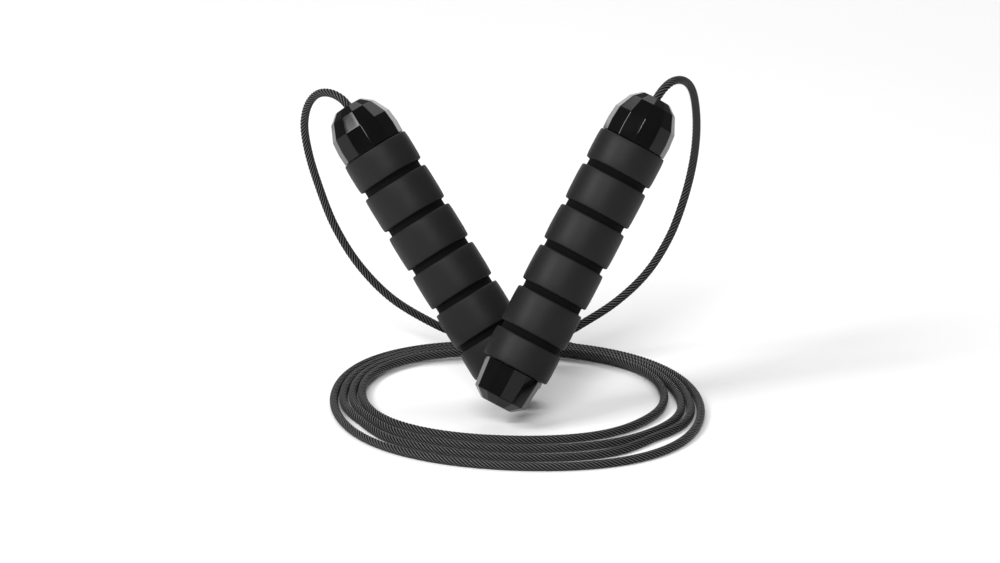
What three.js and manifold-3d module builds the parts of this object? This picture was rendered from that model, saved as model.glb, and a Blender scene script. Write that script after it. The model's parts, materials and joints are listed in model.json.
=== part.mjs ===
// Speed jump rope: two foam-covered handles with ball-bearing heads stand crossed, inside a loose coil of their own
// steel rope. Millimetres, +Z up, the floor is z = 0. The origin lies on the floor, in the middle of the two handles.
import * as THREE from "three";
import { mergeVertices } from "three/addons/utils/BufferGeometryUtils.js";
import Module from "manifold-3d";

// Gaps
const GAP = 0.3; // between pieces that touch or turn on each other
const THREAD_GAP = 0.4; // between screwed pieces, where the thread would be

// Handle, measured along its axis from the flat end of the end cap
const HANDLE_LENGTH = 160;
const END_CAP_LENGTH = 18.6;
const HEAD_LENGTH = 23.25;
const HEAD_BASE = HANDLE_LENGTH - HEAD_LENGTH;
const ROUND_SIDES = 24;
const SMALL_SIDES = 16;

// Foam grip: six segments with five grooves
const GRIP_RADIUS = 16.7;
const GROOVE_RADIUS = 14.6;
const GROOVE_COUNT = 5;
const GROOVE_WIDTH = 3.5;
const FIRST_GROOVE = 15.3; // from the grip's upper end to the first groove
const GROOVE_PITCH = 21.2;
const GRIP_EDGE = 0.8; // chamfer of each segment's edge

// Core tube
const TUBE_RADIUS = 13;
const TUBE_BORE = 10.8;

// End cap: twelve facets, as [distance of the facets from the axis, height]
const END_CAP_FACETS = 12;
const END_CAP_CHAMFER = 3.9; // height of the chamfer around the flat end
const END_CAP_SIDES = [[7.4, 0], [12.5, END_CAP_CHAMFER], [14, END_CAP_LENGTH]];
const PLUG_LENGTH = 14;
const PLUG_BORE = 8.3;

// Head cap: twelve facets, upright, then leaning in, then a chamfer round the flat end
const HEAD_FACETS = 12;
const HEAD_SIDES = [[15.3, 0], [15.5, 5.6], [14.9, 12], [11.3, 19.6], [6.9, HEAD_LENGTH]];

// Ball bearing, 8 x 16 x 5
const BEARING_BORE = 4;
const BEARING_RADIUS = 8;
const BEARING_WIDTH = 5;
const RACE_WALL = 0.9;
const BALL_RADIUS = 0.8;
const BALL_COUNT = 9;
const BALL_CIRCLE = 6;
const CAGE_WALL = 0.7;
const CAGE_HEIGHT = 1;
const SEAT_TOP = 15; // from the head's base to the shoulder that stops the bearing
const RETAINER_LENGTH = 4;
const RETAINER_BORE = 6.6;

// Swivel sleeve, washer, stopper and its set screw
const SLEEVE_BORE = 2.35;
const FLANGE_RADIUS = 4.8;
const FLANGE_HEIGHT = 1;
const WASHER_HEIGHT = 0.8;
const STOPPER_RADIUS = 5.2;
const STOPPER_LENGTH = 10;
const SCREW_RADIUS = 1.3;
const SCREW_LENGTH = 2.3;
const MOUTH_RADIUS = 2.7; // hole in the head's flat end, where the rope comes out

// Rope
const ROPE_RADIUS = 2;
const ROPE_SIDES = 10;
const TAIL_STEPS = 26;
const ROPE_END_LENGTH = 61; // the straight stretch inside the handle
const ROPE_END_INSET = 1; // from the head's flat end to the end face of that stretch

// Coil: an oval ring around an oval opening, each given by half its width and half its depth
const COIL_OUTSIDE = [88.7, 92];
const COIL_OPENING = [71, 61.7];
const COIL_SETBACK = 6.8; // of the opening's middle, behind the ring's
const COIL_HEIGHT = 7.2;
const COIL_EDGE = 0.07; // chamfer, as a part of the ring's breadth
const COIL_BEVEL = 1.2; // the same chamfer's height
const COIL_SIDES = 48;
const COIL_CENTRE = [6.5, -7.5];

// Places of the handles: both lean back, one tilts left and the other right
const LEAN = 19; // degrees
const HANDLES = [
  { side: "left", foot: [11.58, -6.122, 4.531], tilt: -31.56 },
  { side: "right", foot: [-2.7, -38.912, 11.831], tilt: 27.65 },
];

// Free rope: out of the head's mouth, over in an arc, and down behind the handles to the top of the coil
const TAILS = {
  left: [
    [-72.2, 38.3, 133.4], [-75.3, 40.4, 136.3], [-80.5, 44.7, 137.9], [-86.5, 51, 136], [-91.5, 58.5, 129],
    [-94, 65.5, 117], [-92.5, 70.5, 102], [-88, 73.5, 84.5], [-80.5, 74, 64], [-69.5, 74, 45],
    [-54.5, 73.5, 28.5], [-38, 73, 17.5], [-22, 73, 10],
  ],
  right: [
    [71.5, 7.2, 145.8], [74.4, 10, 149.3], [78, 14.3, 151.5], [82, 19.8, 151.4], [86, 26.7, 148.4],
    [89, 33.5, 142.3], [91, 41, 131], [91.5, 46.5, 117], [90, 50.5, 101], [86, 52.5, 83],
    [79.5, 53.5, 64.5], [69, 54.5, 46.5], [55, 55.5, 32], [40, 56.3, 21.3], [24, 56.5, 12],
  ],
};

const material = (color, roughness, metalness, flatShading = false) =>
  new THREE.MeshStandardMaterial({ color, roughness, metalness, flatShading });
const MATERIALS = {
  foam: material(0x2b2b2d, 0.9, 0),
  gloss: material(0x0c0c0e, 0.2, 0, true),
  moulded: material(0x18181a, 0.6, 0),
  steel: material(0xb4b6ba, 0.25, 1),
  brass: material(0xc2a04a, 0.3, 1),
  aluminium: material(0xa9adb2, 0.4, 1),
  nylon: material(0xe6e3da, 0.5, 0),
  rope: material(0x1c1c1e, 0.3, 0.2),
};

const wasm = await Module();
wasm.setup();

// Solids for cutting and joining

function solidOf(geometry) {
  const bare = geometry.clone();
  bare.deleteAttribute("normal");
  bare.deleteAttribute("uv");
  const merged = mergeVertices(bare, 1e-4);
  return new wasm.Manifold(
    new wasm.Mesh({
      numProp: 3,
      vertProperties: new Float32Array(merged.attributes.position.array),
      triVerts: new Uint32Array(merged.index.array),
    }),
  );
}

function geometryOf(solid) {
  const mesh = solid.getMesh();
  const geometry = new THREE.BufferGeometry();
  geometry.setAttribute("position", new THREE.BufferAttribute(mesh.vertProperties, 3));
  geometry.setIndex(new THREE.BufferAttribute(mesh.triVerts, 1));
  geometry.computeVertexNormals();
  return geometry;
}

const joined = (...geometries) => geometryOf(geometries.map(solidOf).reduce((a, b) => a.add(b)));
const cut = (body, ...tools) => geometryOf(tools.map(solidOf).reduce((a, b) => a.subtract(b), solidOf(body)));

// Turned shapes: a profile of [radius, height] about the Z axis, closed on itself or from axis to axis

function turned(profile, sides) {
  const area = profile.reduce((sum, [r, z], i) => {
    const [nextR, nextZ] = profile[(i + 1) % profile.length];
    return sum + r * nextZ - nextR * z;
  }, 0);
  const outline = (area < 0 ? [...profile].reverse() : profile).map(([r, z]) => new THREE.Vector2(r, z));
  if (profile.every(([r]) => r > 0)) outline.push(outline[0].clone());
  return new THREE.LatheGeometry(outline, sides).rotateX(Math.PI / 2);
}

const ring = (bore, radius, low, high, sides = ROUND_SIDES) =>
  turned([[bore, low], [radius, low], [radius, high], [bore, high]], sides);

const rod = (radius, low, high, sides = ROUND_SIDES) => turned([[0, low], [radius, low], [radius, high], [0, high]], sides);

// A solid with flat facets, given by the facets' distance from the axis at each height, with an edge towards the front
function faceted(facets, sides, base = 0) {
  const corner = 1 / Math.cos(Math.PI / facets);
  const profile = sides.map(([distance, height]) => [distance * corner, base + height]);
  return turned([[0, profile[0][1]], ...profile, [0, profile.at(-1)[1]]], facets);
}

// Pieces of one handle, along its own Z axis

function coreTube() {
  return ring(TUBE_BORE, TUBE_RADIUS, END_CAP_LENGTH + GAP, HEAD_BASE - GAP);
}

function foamGrip() {
  const low = END_CAP_LENGTH + GAP;
  const high = HEAD_BASE - GAP;
  const bore = TUBE_RADIUS + GAP;
  const profile = [[bore, low], [GRIP_RADIUS - GRIP_EDGE, low], [GRIP_RADIUS, low + GRIP_EDGE]];
  for (let i = GROOVE_COUNT - 1; i >= 0; i--) {
    const top = HEAD_BASE - FIRST_GROOVE - i * GROOVE_PITCH;
    const bottom = top - GROOVE_WIDTH;
    profile.push([GRIP_RADIUS, bottom - GRIP_EDGE], [GRIP_RADIUS - GRIP_EDGE, bottom], [GROOVE_RADIUS, bottom]);
    profile.push([GROOVE_RADIUS, top], [GRIP_RADIUS - GRIP_EDGE, top], [GRIP_RADIUS, top + GRIP_EDGE]);
  }
  profile.push([GRIP_RADIUS, high - GRIP_EDGE], [GRIP_RADIUS - GRIP_EDGE, high], [bore, high]);
  return turned(profile, ROUND_SIDES);
}

function endCap() {
  const shell = faceted(END_CAP_FACETS, END_CAP_SIDES);
  const plug = rod(TUBE_BORE - THREAD_GAP, END_CAP_CHAMFER, END_CAP_LENGTH + PLUG_LENGTH);
  const hollow = rod(PLUG_BORE, END_CAP_CHAMFER, END_CAP_LENGTH + PLUG_LENGTH + 1, SMALL_SIDES);
  return cut(joined(shell, plug), hollow);
}

function headCap() {
  const shell = faceted(HEAD_FACETS, HEAD_SIDES, HEAD_BASE);
  const plug = rod(TUBE_BORE - THREAD_GAP, HEAD_BASE - PLUG_LENGTH, HEAD_BASE + 1);
  const seat = rod(BEARING_RADIUS + GAP, HEAD_BASE - PLUG_LENGTH - 1, HEAD_BASE + SEAT_TOP);
  const relief = rod(RETAINER_BORE, HEAD_BASE + SEAT_TOP - 1, HEAD_BASE + SEAT_TOP + 1.5, SMALL_SIDES);
  const mouth = rod(MOUTH_RADIUS, HEAD_BASE + SEAT_TOP, HANDLE_LENGTH + 1, SMALL_SIDES);
  return cut(joined(shell, plug), seat, relief, mouth);
}

const BEARING_TOP = HEAD_BASE + SEAT_TOP - GAP;
const BEARING_BASE = BEARING_TOP - BEARING_WIDTH;

const outerRace = () => ring(BEARING_RADIUS - RACE_WALL, BEARING_RADIUS, BEARING_BASE, BEARING_TOP);
const innerRace = () => ring(BEARING_BORE, BEARING_BORE + RACE_WALL, BEARING_BASE, BEARING_TOP, SMALL_SIDES);

function ballCage() {
  const middle = (BEARING_BASE + BEARING_TOP) / 2;
  const half = CAGE_WALL / 2;
  const band = ring(BALL_CIRCLE - half, BALL_CIRCLE + half, middle - CAGE_HEIGHT / 2, middle + CAGE_HEIGHT / 2);
  const balls = Array.from({ length: BALL_COUNT }, (_, i) => {
    const turn = (2 * Math.PI * i) / BALL_COUNT;
    return new THREE.SphereGeometry(BALL_RADIUS, 6, 4).translate(
      BALL_CIRCLE * Math.cos(turn),
      BALL_CIRCLE * Math.sin(turn),
      middle,
    );
  });
  return joined(band, ...balls);
}

function bearingRetainer() {
  const top = BEARING_BASE - GAP;
  return ring(RETAINER_BORE, BEARING_RADIUS, top - RETAINER_LENGTH, top);
}

const FLANGE_TOP = BEARING_BASE - GAP;
const WASHER_TOP = FLANGE_TOP - FLANGE_HEIGHT - GAP;
const STOPPER_TOP = WASHER_TOP - WASHER_HEIGHT - GAP;

function swivelSleeve() {
  const barrel = BEARING_BORE - GAP;
  const base = FLANGE_TOP - FLANGE_HEIGHT;
  return turned(
    [
      [SLEEVE_BORE, base],
      [FLANGE_RADIUS, base],
      [FLANGE_RADIUS, FLANGE_TOP],
      [barrel, FLANGE_TOP],
      [barrel, BEARING_TOP + 1],
      [SLEEVE_BORE, BEARING_TOP + 1],
    ],
    SMALL_SIDES,
  );
}

const thrustWasher = () => ring(SLEEVE_BORE, FLANGE_RADIUS, WASHER_TOP - WASHER_HEIGHT, WASHER_TOP, SMALL_SIDES);

const STOPPER_MIDDLE = STOPPER_TOP - STOPPER_LENGTH / 2;

// A rod that lies across the handle's axis, from one distance off it to another
const crossRod = (radius, from, to) => rod(radius, from, to, 12).rotateY(Math.PI / 2).translate(0, 0, STOPPER_MIDDLE);

function ropeStopper() {
  const body = ring(SLEEVE_BORE, STOPPER_RADIUS, STOPPER_TOP - STOPPER_LENGTH, STOPPER_TOP, SMALL_SIDES);
  return cut(body, crossRod(SCREW_RADIUS + GAP, 0, STOPPER_RADIUS + 1));
}

const stopperScrew = () => crossRod(SCREW_RADIUS, ROPE_RADIUS + GAP, ROPE_RADIUS + GAP + SCREW_LENGTH);

function ropeEnd() {
  const top = HANDLE_LENGTH - ROPE_END_INSET;
  return rod(ROPE_RADIUS, top - ROPE_END_LENGTH, top, ROPE_SIDES);
}

const HANDLE_PIECES = [
  ["core_tube", coreTube, "moulded"],
  ["foam_grip", foamGrip, "foam"],
  ["end_cap", endCap, "gloss"],
  ["head_cap", headCap, "gloss"],
  ["bearing_outer_race", outerRace, "steel"],
  ["bearing_ball_cage", ballCage, "steel"],
  ["bearing_inner_race", innerRace, "steel"],
  ["bearing_retainer", bearingRetainer, "moulded"],
  ["swivel_sleeve", swivelSleeve, "brass"],
  ["thrust_washer", thrustWasher, "nylon"],
  ["rope_stopper", ropeStopper, "aluminium"],
  ["stopper_screw", stopperScrew, "steel"],
  ["rope_end", ropeEnd, "rope"],
];

// The rope outside the handles

function ropeTail(points) {
  const route = new THREE.CatmullRomCurve3(points.map((p) => new THREE.Vector3(...p)), false, "centripetal");
  const section = new THREE.Shape().absarc(0, 0, ROPE_RADIUS, 0, 2 * Math.PI, false);
  return new THREE.ExtrudeGeometry(section, {
    steps: TAIL_STEPS,
    curveSegments: ROPE_SIDES / 2,
    extrudePath: route,
    bevelEnabled: false,
  });
}

// A flat ring that holds the turns. It is turned with radius 1 at the opening and 2 at the outside, then drawn out.
function ropeCoil() {
  const profile = [
    [1 + COIL_EDGE, 0],
    [2 - COIL_EDGE, 0],
    [2, COIL_BEVEL],
    [2, COIL_HEIGHT - COIL_BEVEL],
    [2 - COIL_EDGE, COIL_HEIGHT],
    [1 + COIL_EDGE, COIL_HEIGHT],
    [1, COIL_HEIGHT - COIL_BEVEL],
    [1, COIL_BEVEL],
  ];
  const geometry = turned(profile, COIL_SIDES);
  const place = geometry.attributes.position;
  for (let i = 0; i < place.count; i++) {
    const radius = Math.hypot(place.getX(i), place.getY(i));
    const outward = radius - 1;
    const width = THREE.MathUtils.lerp(COIL_OPENING[0], COIL_OUTSIDE[0], outward);
    const depth = THREE.MathUtils.lerp(COIL_OPENING[1], COIL_OUTSIDE[1], outward);
    place.setX(i, (place.getX(i) / radius) * width);
    place.setY(i, (place.getY(i) / radius) * depth + COIL_SETBACK * (1 - outward));
  }
  geometry.computeVertexNormals();
  return geometry;
}

function mesh(name, geometry, finish) {
  const piece = new THREE.Mesh(geometry, MATERIALS[finish]);
  piece.name = name;
  return piece;
}

function handle({ side, foot, tilt }) {
  const group = new THREE.Group();
  group.position.set(...foot);
  group.rotation.set(THREE.MathUtils.degToRad(-LEAN), THREE.MathUtils.degToRad(tilt), 0, "XYZ");
  for (const [name, make, finish] of HANDLE_PIECES) group.add(mesh(side + "_" + name, make(), finish));
  return group;
}

const jumpRope = new THREE.Group();
for (const place of HANDLES) jumpRope.add(handle(place));
for (const [side, points] of Object.entries(TAILS)) jumpRope.add(mesh(side + "_rope_tail", ropeTail(points), "rope"));
const coil = mesh("rope_coil", ropeCoil(), "rope");
coil.position.set(...COIL_CENTRE, 0);
jumpRope.add(coil);

export default jumpRope;
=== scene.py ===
"""Speed jump rope: two foam-covered handles stand crossed in a loose coil of their own rope.

Metres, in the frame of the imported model, which gives every piece its place. This script adds the rounded foam
segments, the caps with eased edges, one continuous twisted rope, the materials, a pale floor, soft lights and
the camera.
"""

import json
import math

import bmesh
import bpy
import numpy as np
from mathutils import Matrix, Vector, noise


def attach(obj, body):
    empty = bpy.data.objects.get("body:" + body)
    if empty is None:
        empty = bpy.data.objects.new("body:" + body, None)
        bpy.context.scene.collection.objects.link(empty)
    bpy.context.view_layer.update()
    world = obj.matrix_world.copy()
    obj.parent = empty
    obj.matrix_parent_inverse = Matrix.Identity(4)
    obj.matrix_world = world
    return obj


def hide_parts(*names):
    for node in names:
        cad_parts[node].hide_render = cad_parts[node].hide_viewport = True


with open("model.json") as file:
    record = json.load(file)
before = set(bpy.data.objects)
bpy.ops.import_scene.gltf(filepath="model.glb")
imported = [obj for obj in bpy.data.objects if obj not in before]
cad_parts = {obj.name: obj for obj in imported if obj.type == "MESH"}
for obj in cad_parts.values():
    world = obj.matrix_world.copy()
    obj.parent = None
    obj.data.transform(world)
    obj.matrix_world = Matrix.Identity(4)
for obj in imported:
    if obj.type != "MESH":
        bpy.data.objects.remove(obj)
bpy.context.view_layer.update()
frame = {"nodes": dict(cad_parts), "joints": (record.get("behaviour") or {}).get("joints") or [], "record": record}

MM = 0.001

# ---------------------------------------------------------------- camera

CAMERA_AIM = Vector((-0.9, 6.3, 57.3)) * MM
CAMERA_DISTANCE = 2.6
CAMERA_ELEVATION = math.radians(17.67)
CAMERA_TURN = math.radians(0.17)
CAMERA_LENS, CAMERA_SENSOR = 200, 36  # millimetres


def add_camera():
    data = bpy.data.cameras.new("camera")
    data.lens = CAMERA_LENS
    data.sensor_width = CAMERA_SENSOR
    camera = bpy.data.objects.new("camera", data)
    bpy.context.scene.collection.objects.link(camera)
    level = math.cos(CAMERA_ELEVATION)
    back = Vector(
        (math.sin(CAMERA_TURN) * level, -math.cos(CAMERA_TURN) * level, math.sin(CAMERA_ELEVATION))
    )
    camera.location = CAMERA_AIM + back * CAMERA_DISTANCE
    camera.rotation_euler = (-back).to_track_quat("-Z", "Y").to_euler()
    bpy.context.scene.camera = camera


add_camera()

# ---------------------------------------------------------------- mesh helpers


def new_object(name, data):
    piece = bpy.data.objects.new(name, data)
    bpy.context.scene.collection.objects.link(piece)
    return piece


def tube_mesh(name, rings, closed):
    """A mesh through rings of points. It closes on itself, or has a flat face at either end."""
    rows, sides = rings.shape[:2]
    points = rings.reshape(-1, 3)
    faces = []
    for row in range(rows if closed else rows - 1):
        low, high = row * sides, (row + 1) % rows * sides
        for side in range(sides):
            after = (side + 1) % sides
            faces.append((low + side, low + after, high + after, high + side))
    if not closed:
        faces.append(tuple(range(sides - 1, -1, -1)))
        faces.append(tuple(range((rows - 1) * sides, rows * sides)))
    mesh = bpy.data.meshes.new(name)
    mesh.from_pydata(points.tolist(), [], faces)
    return mesh


# ---------------------------------------------------------------- rope

ROPE_RADIUS = 2.0 * MM
ROPE_LAY = 16.8 * MM  # length of one whole twist
STRANDS = 8
STRAND_DEPTH = 0.42 * MM
ROPE_SIDES = 6 * STRANDS
ROPE_STEP = 0.9 * MM
ROPE_END_INSET = 0.9  # millimetres that the free rope reaches into each head's mouth
CURVE_STEPS = 40  # of the smooth curve between two points of the route

# The route outside the handles, in millimetres: out of each head's mouth and down to the coil
LEFT_TAIL = [
    (-72.2, 38.3, 133.4), (-75.3, 40.4, 136.3), (-80.5, 44.7, 137.9), (-86.5, 51, 136), (-91.5, 58.5, 129),
    (-94, 65.5, 117), (-92.5, 70.5, 102), (-88, 73.5, 84.5), (-80.5, 74, 64), (-69.5, 74, 45),
    (-54.5, 73.5, 28.5), (-38, 73, 17.5), (-22, 73, 10), (-7, 76, 7.5), (8, 79.5, 6),
    (22, 80, 4),
]
RIGHT_TAIL = [
    (71.5, 7.2, 145.8), (74.4, 10, 149.3), (78, 14.3, 151.5), (82, 19.8, 151.4), (86, 26.7, 148.4),
    (89, 33.5, 142.3), (91, 41, 131), (91.5, 46.5, 117), (90, 50.5, 101), (86, 52.5, 83),
    (79.5, 53.5, 64.5), (69, 54.5, 46.5), (55, 55.5, 32), (40, 56.3, 21.3), (24, 56.5, 12),
    (11, 59, 8), (-3, 61.5, 5.5), (-17, 61, 4.4),
]

# Coil, in millimetres: each size is that of the first turn at the front, then its change from turn to turn
COIL_FRONT = 0.5  # turns from the back to the front
FIRST_TURN, LAST_TURN = 0.05, 3.9  # where the rope comes down to the coil, and where it leaves
POINTS_PER_TURN = 40
COIL_X = (5.8, -0.6)
COIL_Y = (-8.0, 3.7)
COIL_WIDTH = (87.3, -5.03)
COIL_DEPTH = (89.5, -8.55)
COIL_SKEW = (-0.089, 0.0144)
COIL_SQUARENESS = 0.018
COIL_LIFT = 0.55  # of each turn above the one outside it, at the back
# Where a turn swings out of its oval: place in turns, millimetres outward, and spread in turns
COIL_SWINGS = [
    (1.275, 1.3, 0.04), (1.355, -4.4, 0.04), (1.67, -2.4, 0.035),
    (2.285, 2.8, 0.055), (2.67, -1.2, 0.04), (3.345, -1.5, 0.05),
]


def coil_points():
    sizes = COIL_X, COIL_Y, COIL_WIDTH, COIL_DEPTH, COIL_SKEW
    count = round((LAST_TURN - FIRST_TURN) * POINTS_PER_TURN)
    for turn in np.linspace(FIRST_TURN, LAST_TURN, count + 1):
        angle = 2 * math.pi * turn
        x, y, width, depth, skew = (first + change * (turn - COIL_FRONT) for first, change in sizes)
        across = width * (math.sin(angle) + COIL_SQUARENESS * math.sin(3 * angle))
        back = depth * (math.cos(angle) - COIL_SQUARENESS * math.cos(3 * angle)) + skew * across
        swing = 0
        for place, outward, spread in COIL_SWINGS:
            swing += outward * math.exp(-(((turn - place) / spread) ** 2))
        across += swing * math.sin(angle)
        back += swing * math.cos(angle)
        yield x + across, y + back, ROPE_RADIUS / MM + COIL_LIFT * turn * (1 + math.cos(angle)) / 2


def smooth_line(points, step):
    """Points a step apart on a centripetal Catmull-Rom curve through the given points."""
    points = np.array(points, float)
    padded = np.vstack([2 * points[0] - points[1], points, 2 * points[-1] - points[-2]])
    t = np.linspace(0, 1, CURVE_STEPS, endpoint=False)[:, None]
    fine = []
    for p0, p1, p2, p3 in zip(padded, padded[1:], padded[2:], padded[3:]):
        d0, d1, d2 = (math.sqrt(np.linalg.norm(b - a)) for a, b in ((p0, p1), (p1, p2), (p2, p3)))
        m1 = ((p1 - p0) / d0 - (p2 - p0) / (d0 + d1) + (p2 - p1) / d1) * d1
        m2 = ((p2 - p1) / d1 - (p3 - p1) / (d1 + d2) + (p3 - p2) / d2) * d1
        cubic = 2 * p1 - 2 * p2 + m1 + m2
        square = -3 * p1 + 3 * p2 - 2 * m1 - m2
        fine.append(cubic * t**3 + square * t**2 + m1 * t + p1)
    fine = np.vstack([*fine, points[-1:]])
    along = np.concatenate([[0], np.cumsum(np.linalg.norm(np.diff(fine, axis=0), axis=1))])
    places = np.linspace(0, along[-1], round(along[-1] / step) + 1)
    return np.stack([np.interp(places, along, fine[:, i]) for i in range(3)], 1), along[-1]


def inset(head, axis):
    """The point on the handle's axis from which the free rope starts, just inside the mouth."""
    return tuple(np.array(head) - np.array(axis) * ROPE_END_INSET)


def rope_mesh(line):
    """A tube of twisted strands along the line. Each column of points follows one line of the twist."""
    ahead = np.gradient(line, axis=0)
    ahead /= np.linalg.norm(ahead, axis=1)[:, None]
    across = np.cross(ahead[0], (0, 0, 1))
    angle = np.arange(ROPE_SIDES) * 2 * math.pi / ROPE_SIDES
    radius = ROPE_RADIUS - STRAND_DEPTH * (1 - np.abs(np.cos(angle * STRANDS / 2)))
    step = np.linalg.norm(line[1] - line[0])
    rings = []
    for i, (middle, tangent) in enumerate(zip(line, ahead)):
        across = across - tangent * across.dot(tangent)
        across /= np.linalg.norm(across)
        other = np.cross(tangent, across)
        turned = (angle + 2 * math.pi * i * step / ROPE_LAY)[:, None]
        rings.append(middle + radius[:, None] * (np.cos(turned) * across + np.sin(turned) * other))
    mesh = tube_mesh("rope", np.array(rings), closed=False)
    # this map also places painted light and shade across each strand: the rope's colour is black in its valleys
    # and grey on its crowns
    strand = mesh.uv_layers.new(name="strand")
    corners = np.zeros((len(mesh.loops), 2))
    sides = np.arange(ROPE_SIDES)
    for row in range(len(line) - 1):
        start = row * ROPE_SIDES * 4
        block = corners[start : start + ROPE_SIDES * 4].reshape(ROPE_SIDES, 4, 2)
        block[:, :, 0] = (sides[:, None] + np.array([0, 1, 1, 0])) * STRANDS / ROPE_SIDES
        block[:, :, 1] = (row + np.array([0, 0, 1, 1])) * step / ROPE_LAY
    strand.data.foreach_set("uv", corners.ravel())
    mesh.polygons.foreach_set("use_smooth", [True] * len(mesh.polygons))
    return mesh


spin = {j["name"].split("_")[0]: j for j in frame["joints"] if j["name"].endswith("handle_spin")}
AXES = {side: Vector(joint["axis"]).normalized() for side, joint in spin.items()}
FEET = {side: Vector(joint["pos_m"]) for side, joint in spin.items()}

route = [
    inset(LEFT_TAIL[0], AXES["left"]),
    *LEFT_TAIL,
    *coil_points(),
    *reversed(RIGHT_TAIL),
    inset(RIGHT_TAIL[0], AXES["right"]),
]
rope_line, rope_length = smooth_line(np.array(route) * MM, ROPE_STEP)
rope_line[:, 2] = np.maximum(rope_line[:, 2], ROPE_RADIUS)  # on the floor where it lands
rope = new_object("rope", rope_mesh(rope_line))
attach(rope, "rope")
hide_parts("left_rope_tail", "rope_coil", "right_rope_tail")

# ---------------------------------------------------------------- handles

# In millimetres, and along the handle from its foot
HANDLE_LENGTH = 160
END_CAP_LENGTH = 18.6
END_CAP_CHAMFER = 3.9
HEAD_BASE = 136.75
GAP = 0.3  # between the grip and each cap

GRIP_RADIUS = 16.7
GRIP_BORE = 13.3
GRIP_SIDES = 128
GROOVE_RADIUS = 14.6
GROOVE_COUNT = 5
GROOVE_WIDTH = 3.5
GROOVE_ROUND = 0.5  # radius of a groove's two inner edges
GROOVE_ROUND_POINTS = 4
FIRST_GROOVE = 15.3  # from the head down to the top of the nearest groove
GROOVE_PITCH = 21.2
EDGE_ROUND = 0.8  # radius of a segment's two outer edges
EDGE_ROUND_POINTS = 6
CROWN = 0.22  # how much lower a segment is at its ends than in its middle
CROWN_STEPS = 8
FOAM_WAVER = 0.09
BROAD_WAVES, FINE_WAVES = 55, 190  # per metre
FINE_SHARE = 0.4
WAVER_LEVEL = 0.6  # keeps nearly all of the foam's surface inside its plain outline
WAVER_PLACE = {"left": Vector((0, 0, 3)), "right": Vector((0, 0, 11))}

CAP_SIDES = 48
FACETS = 12
CAP_EDGE = 0.28 * MM
CAP_EDGE_STEPS = 2
SHARP = math.radians(12)  # edges that turn more than this are eased


def places():
    """Each handle's own frame: Z along its axis, Y away from the front, and its foot at the origin."""
    back = AXES["left"].cross(AXES["right"]).normalized()
    back = -back if back.y < 0 else back
    made = {}
    for side, axis in AXES.items():
        turn = Matrix((back.cross(axis), back, axis)).transposed().to_4x4()
        made[side] = Matrix.Translation(FEET[side]) @ turn
    return made


def radii(outline, radius, sides):
    """Distances from the axis of one ring of points: round, or with flat facets at that distance."""
    if outline == "round":
        return np.full(sides, radius)
    facet = 2 * math.pi / FACETS
    angle = np.arange(sides) * 2 * math.pi / sides
    return radius / np.cos(angle % facet - facet / 2)


def turned_mesh(name, profile, sides, closed):
    """A body about the Z axis from a profile of (outline, radius, height), in millimetres."""
    angle = np.arange(sides) * 2 * math.pi / sides
    rings = []
    for outline, radius, height in profile:
        shape = radii(outline, radius, sides)
        rings.append(np.stack([shape * np.cos(angle), shape * np.sin(angle), np.full(sides, height)], 1))
    return tube_mesh(name, np.array(rings) * MM, closed)


def arc(centre_r, centre_z, radius, start, end, count):
    """Profile points on an arc, from its start to its end in degrees."""
    for i in range(count):
        angle = math.radians(start + (end - start) * i / (count - 1))
        yield "round", centre_r + radius * math.cos(angle), centre_z + radius * math.sin(angle)


def segment_profile(low, high):
    """One foam segment from its lower to its upper edge: rounded edges and a slight crown between them."""
    edge = GRIP_RADIUS - CROWN - EDGE_ROUND
    yield from arc(edge, low + EDGE_ROUND, EDGE_ROUND, -90, 0, EDGE_ROUND_POINTS)
    for i in range(1, CROWN_STEPS):
        across = 2 * i / CROWN_STEPS - 1
        height = low + EDGE_ROUND + (high - low - 2 * EDGE_ROUND) * i / CROWN_STEPS
        yield "round", GRIP_RADIUS - CROWN * across**4, height
    yield from arc(edge, high - EDGE_ROUND, EDGE_ROUND, 0, 90, EDGE_ROUND_POINTS)


def grip_profile():
    low = END_CAP_LENGTH + GAP
    high = HEAD_BASE - GAP
    tops = [HEAD_BASE - FIRST_GROOVE - i * GROOVE_PITCH for i in reversed(range(GROOVE_COUNT))]
    groove_edge = GROOVE_RADIUS + GROOVE_ROUND
    profile = [("round", GRIP_BORE, low)]
    start = low
    for top in tops:
        bottom = top - GROOVE_WIDTH
        profile += segment_profile(start, bottom)
        profile += arc(groove_edge, bottom + GROOVE_ROUND, GROOVE_ROUND, 270, 180, GROOVE_ROUND_POINTS)
        profile += arc(groove_edge, top - GROOVE_ROUND, GROOVE_ROUND, 180, 90, GROOVE_ROUND_POINTS)
        start = top
    profile += segment_profile(start, high)
    profile.append(("round", GRIP_BORE, high))
    return profile


def add_grip(side, place):
    """One handle's foam, a little uneven, with a map of how far out and how far up each point is."""
    name = side + "_grip"
    mesh = turned_mesh(name, grip_profile(), GRIP_SIDES, closed=True)
    offset = WAVER_PLACE[side]
    for vertex in mesh.vertices:
        radial = Vector((vertex.co.x, vertex.co.y, 0))
        if radial.length > (GROOVE_RADIUS - GROOVE_ROUND) * MM:  # not in the bore
            broad = noise.noise(vertex.co * BROAD_WAVES + offset)
            waver = broad + FINE_SHARE * noise.noise(vertex.co * FINE_WAVES + offset)
            vertex.co += radial.normalized() * (waver - WAVER_LEVEL) * FOAM_WAVER * MM
    # how far out each point is also sets painted shade: the foam's colour goes nearly black down in the grooves
    relief = mesh.uv_layers.new(name="relief")
    for loop in mesh.loops:
        point = mesh.vertices[loop.vertex_index].co
        height = (math.hypot(point.x, point.y) / MM - GROOVE_RADIUS) / (GRIP_RADIUS - GROOVE_RADIUS)
        relief.data[loop.index].uv = (height, point.z / MM / HANDLE_LENGTH)
    mesh.transform(place)
    mesh.polygons.foreach_set("use_smooth", [True] * len(mesh.polygons))
    piece = new_object(name, mesh)
    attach(piece, side + "_handle")
    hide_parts(side + "_foam_grip")
    return piece


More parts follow.
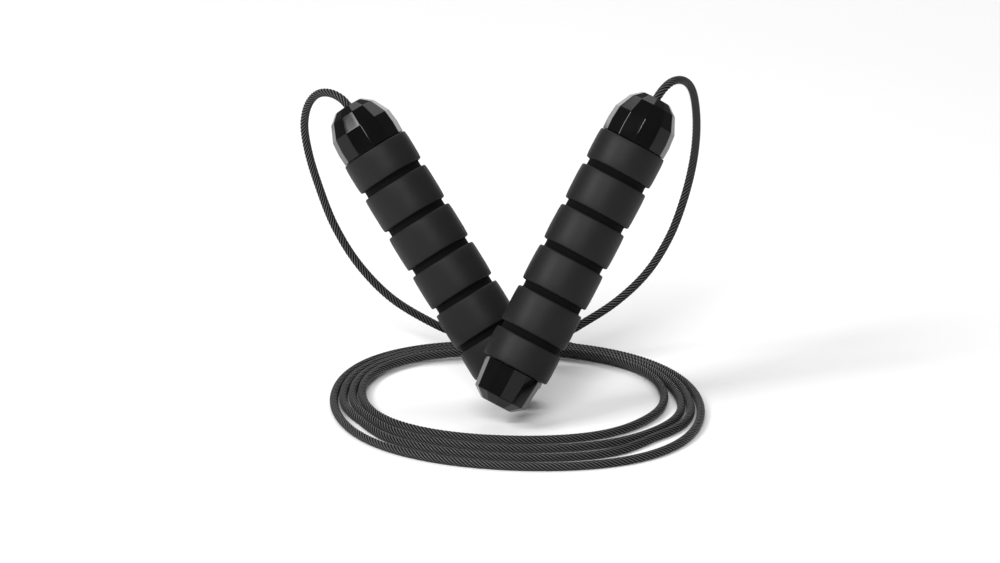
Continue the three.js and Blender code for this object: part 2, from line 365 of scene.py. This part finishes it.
PLUG_RADIUS = 10.4
PLUG_BORE = 8.3
PLUG_LENGTH = 14
SEAT_TOP = 15  # from the head's base to the shoulder that stops the bearing
RELIEF_TOP = 16.5  # and to the end of the clear space over the bearing's inner ring
RELIEF_RADIUS = 6.6
MOUTH_RADIUS = 2.7
# Each row of the head's facets: distance from the axis, and height over the head's base
HEAD_FACETS = [(15.3, 0), (15.5, 5.6), (14.9, 12), (11.3, 19.6)]
END_CAP_PROFILE = [
    ("facets", 7.4, 0),
    ("facets", 12.5, END_CAP_CHAMFER),
    ("facets", 14.0, END_CAP_LENGTH),
    ("round", PLUG_RADIUS, END_CAP_LENGTH),
    ("round", PLUG_RADIUS, END_CAP_LENGTH + PLUG_LENGTH),
    ("round", PLUG_BORE, END_CAP_LENGTH + PLUG_LENGTH),
    ("round", PLUG_BORE, END_CAP_CHAMFER),
]
HEAD_PROFILE = [
    ("round", PLUG_BORE, HEAD_BASE - PLUG_LENGTH),
    ("round", PLUG_RADIUS, HEAD_BASE - PLUG_LENGTH),
    ("round", PLUG_RADIUS, HEAD_BASE),
    *(("facets", radius, HEAD_BASE + height) for radius, height in HEAD_FACETS),
    ("facets", 6.9, HANDLE_LENGTH),
    ("round", MOUTH_RADIUS, HANDLE_LENGTH),
    ("round", MOUTH_RADIUS, HEAD_BASE + RELIEF_TOP),
    ("round", RELIEF_RADIUS, HEAD_BASE + RELIEF_TOP),
    ("round", RELIEF_RADIUS, HEAD_BASE + SEAT_TOP),
    ("round", PLUG_BORE, HEAD_BASE + SEAT_TOP),
]


def add_cap(side, place, name, profile, closed, body, node):
    """A faceted cap with eased edges. A closed profile has a hole right through it."""
    mesh = turned_mesh(side + "_" + name, profile, CAP_SIDES, closed)
    shell = bmesh.new()
    shell.from_mesh(mesh)
    edges = [e for e in shell.edges if e.is_manifold and e.calc_face_angle() > SHARP]
    bmesh.ops.bevel(
        shell,
        geom=edges,
        offset=CAP_EDGE,
        segments=CAP_EDGE_STEPS,
        profile=0.5,
        affect="EDGES",
        clamp_overlap=True,
    )
    bmesh.ops.recalc_face_normals(shell, faces=shell.faces)
    shell.to_mesh(mesh)
    shell.free()
    mesh.transform(place)
    mesh.polygons.foreach_set("use_smooth", [True] * len(mesh.polygons))
    piece = new_object(side + "_" + name, mesh)
    piece.modifiers.new("flat facets", "WEIGHTED_NORMAL").weight = 100
    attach(piece, body)
    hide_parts(node)
    return piece


dressed = {"rope_sheath": [rope], "grip_foam": [], "cap_plastic": []}
for side, place in places().items():
    dressed["grip_foam"].append(add_grip(side, place))
    dressed["cap_plastic"] += [
        add_cap(side, place, "head", HEAD_PROFILE, True, side + "_handle", side + "_head_cap"),
        add_cap(side, place, "foot_cap", END_CAP_PROFILE, False, side + "_end_cap", side + "_end_cap"),
    ]

# ---------------------------------------------------------------- materials


class Surface:
    """A Principled material whose colour, roughness and fine relief come from procedural textures."""

    def __init__(self, name, **constants):
        self.material = bpy.data.materials.new(name)
        self.material.use_nodes = True
        self.tree = self.material.node_tree
        self.shader = self.tree.nodes["Principled BSDF"]
        for socket, value in constants.items():
            self.shader.inputs[socket.replace("_", " ")].default_value = value
        self.place = self.node("ShaderNodeTexCoord").outputs["Object"]

    def node(self, kind, inputs=(), **settings):
        made = self.tree.nodes.new(kind)
        for key, value in settings.items():
            setattr(made, key, value)
        for socket, value in dict(inputs).items():
            if isinstance(value, bpy.types.NodeSocket):
                self.tree.links.new(value, made.inputs[socket])
            else:
                made.inputs[socket].default_value = value
        return made

    def noise(self, scale, detail=3.0):
        """Soft clouds, with the scale in clouds per metre."""
        inputs = {"Vector": self.place, "Scale": scale, "Detail": detail}
        return self.node("ShaderNodeTexNoise", inputs).outputs["Fac"]

    def cells(self, scale):
        return self.node("ShaderNodeTexVoronoi", {"Vector": self.place, "Scale": scale}).outputs["Distance"]

    def colour(self, factor, dark, light, low=0.3, high=0.7):
        """Dark where the factor is at or below low, light where it is at or above high."""
        ramp = self.node("ShaderNodeValToRGB", {"Fac": factor})
        first, last = ramp.color_ramp.elements
        first.position, last.position = low, high
        first.color, last.color = (*dark, 1), (*light, 1)
        self.tree.links.new(ramp.outputs["Color"], self.shader.inputs["Base Color"])

    def roughness(self, factor, at_zero, at_one):
        spread = self.node("ShaderNodeMapRange", {"Value": factor, "To Min": at_zero, "To Max": at_one})
        self.tree.links.new(spread.outputs["Result"], self.shader.inputs["Roughness"])

    def relief(self, *layers):
        """Bump from layers of height, strength and depth in metres, each on the one before."""
        normal = None
        for height, strength, depth in layers:
            inputs = {"Height": height, "Strength": strength, "Distance": depth}
            if normal:
                inputs["Normal"] = normal
            normal = self.node("ShaderNodeBump", inputs).outputs["Normal"]
        self.tree.links.new(normal, self.shader.inputs["Normal"])


def grey(value, warmth=0.0):
    return value * (1 + warmth), value, value * (1 - warmth)


def foam():
    """Matt foam, darker and duller down in its grooves, from the grip's own relief map: the darker colour there is
    painted shade.
    """
    surface = Surface("grip_foam", Specular_IOR_Level=0.15)
    relief = surface.node("ShaderNodeUVMap", uv_map="relief").outputs["UV"]
    height = surface.node("ShaderNodeSeparateXYZ", {"Vector": relief}).outputs["X"]
    grain = surface.node("ShaderNodeMath", {0: surface.noise(90), 1: 0.3}, operation="MULTIPLY")
    mixed = surface.node("ShaderNodeMath", {0: height, 1: grain.outputs[0]}, operation="ADD")
    # painted shade: the colour goes nearly black down in the grooves, with random grain on top
    surface.colour(mixed.outputs[0], grey(0.0010), grey(0.0105, -0.02), low=0.35, high=1.0)
    surface.roughness(height, 0.95, 0.47)
    surface.relief((surface.noise(260, 4), 0.25, 0.25 * MM), (surface.cells(2600), 0.35, 0.08 * MM))
    return surface.material


def gloss():
    surface = Surface("cap_plastic", Specular_IOR_Level=0.22)
    surface.colour(surface.noise(60), grey(0.0015), grey(0.0030))
    surface.roughness(surface.noise(300, 5), 0.06, 0.16)
    surface.relief((surface.noise(70, 1), 0.2, 0.12 * MM))
    return surface.material


def moulded():
    surface = Surface("tube_plastic")
    surface.colour(surface.noise(200), grey(0.016), grey(0.024))
    surface.roughness(surface.noise(700), 0.42, 0.58)
    surface.relief((surface.cells(3200), 0.3, 0.03 * MM))
    return surface.material


def metal(name, dark, light, low, high):
    surface = Surface(name, Metallic=1.0)
    surface.colour(surface.noise(350), dark, light)
    surface.roughness(surface.noise(1500, 5), low, high)
    surface.relief((surface.noise(2400, 2), 0.12, 0.02 * MM))
    return surface.material


def nylon():
    surface = Surface("washer_nylon", IOR=1.53)
    surface.colour(surface.noise(500), (0.68, 0.67, 0.62), (0.78, 0.77, 0.73))
    surface.roughness(surface.noise(900), 0.38, 0.5)
    surface.relief((surface.noise(1800), 0.15, 0.02 * MM))
    return surface.material


def sheath():
    """Black sheath over twisted strands, with painted light and shade across each strand from the rope's own
    strand map: the black valleys are painted shade between the strands, and the grey crowns are partly the
    strands' own tone through the sheath and partly a painted highlight.
    """
    surface = Surface("rope_sheath", Specular_IOR_Level=0.2)
    strand = surface.node("ShaderNodeUVMap", uv_map="strand").outputs["UV"]
    across = surface.node("ShaderNodeSeparateXYZ", {"Vector": strand}).outputs["X"]
    wave = surface.node("ShaderNodeMath", {0: across, 1: 2 * math.pi}, operation="MULTIPLY")
    crown = surface.node("ShaderNodeMath", {0: wave.outputs[0]}, operation="COSINE")
    speckle = surface.node("ShaderNodeMath", {0: surface.noise(900), 1: 0.5}, operation="MULTIPLY")
    mixed = surface.node("ShaderNodeMath", {0: crown.outputs[0], 1: speckle.outputs[0]}, operation="ADD")
    # painted light and shade: nearly black in the valleys between strands, grey on the crowns as a painted
    # highlight over the strands' own tone
    surface.colour(mixed.outputs[0], grey(0.0004), grey(0.085), low=0.5, high=1.0)
    surface.roughness(mixed.outputs[0], 0.8, 0.3)
    surface.relief((surface.noise(2600), 0.1, 0.03 * MM))
    return surface.material


MATERIALS = {
    "grip_foam": foam(),
    "cap_plastic": gloss(),
    "tube_plastic": moulded(),
    "bearing_steel": metal("bearing_steel", grey(0.52), grey(0.64), 0.12, 0.24),
    "screw_steel": metal("screw_steel", grey(0.22), grey(0.32), 0.28, 0.42),
    "sleeve_brass": metal("sleeve_brass", (0.62, 0.44, 0.16), (0.76, 0.57, 0.24), 0.2, 0.34),
    "stopper_aluminium": metal("stopper_aluminium", grey(0.56), grey(0.66), 0.28, 0.4),
    "washer_nylon": nylon(),
    "rope_sheath": sheath(),
}

for part in frame["record"]["subparts"]:
    node = frame["nodes"][part["node"]]
    for slot in node.material_slots:
        slot.material = MATERIALS[part["material_slot"]]
for slot, parts in dressed.items():
    for piece in parts:
        piece.data.materials.append(MATERIALS[slot])

# ---------------------------------------------------------------- stage

FLOOR_HALF = 6.0
LIGHT_AIM = Vector((0, 0, 0.06))
LIGHTS = [  # name, position, width, height and power
    ("key", Vector((-1.18, -0.8, 1.25)), 0.7, 0.7, 28),
    ("front", Vector((-0.1, -1.75, 1.4)), 1.0, 0.25, 24),
    ("back", Vector((0.0, 2.0, 0.3)), 2.4, 0.5, 5.5),
    ("top", Vector((0.2, 1.1, 1.9)), 2.4, 1.4, 23),
]
BACKDROP_STRENGTH = 0.24


def add_floor():
    corners = [(x * FLOOR_HALF, y * FLOOR_HALF, 0) for x, y in ((-1, -1), (1, -1), (1, 1), (-1, 1))]
    mesh = bpy.data.meshes.new("floor")
    mesh.from_pydata(corners, [], [(0, 1, 2, 3)])
    floor = new_object("floor", mesh)
    surface = Surface("floor")
    surface.colour(surface.noise(3), grey(0.86), grey(0.88))
    surface.roughness(surface.noise(20), 0.7, 0.8)
    mesh.materials.append(surface.material)


def add_light(name, position, width, height, power):
    data = bpy.data.lights.new(name, "AREA")
    data.shape = "RECTANGLE"
    data.size, data.size_y = width, height
    data.energy = power
    light = new_object(name, data)
    light.location = position
    light.rotation_euler = (LIGHT_AIM - light.location).to_track_quat("-Z", "Y").to_euler()


add_floor()
for light in LIGHTS:
    add_light(*light)

world = bpy.data.worlds.new("studio")
world.use_nodes = True
backdrop = world.node_tree.nodes["Background"]
backdrop.inputs["Color"].default_value = (1, 1, 1, 1)
backdrop.inputs["Strength"].default_value = BACKDROP_STRENGTH
bpy.context.scene.world = world
bpy.context.scene.view_settings.view_transform = "Standard"
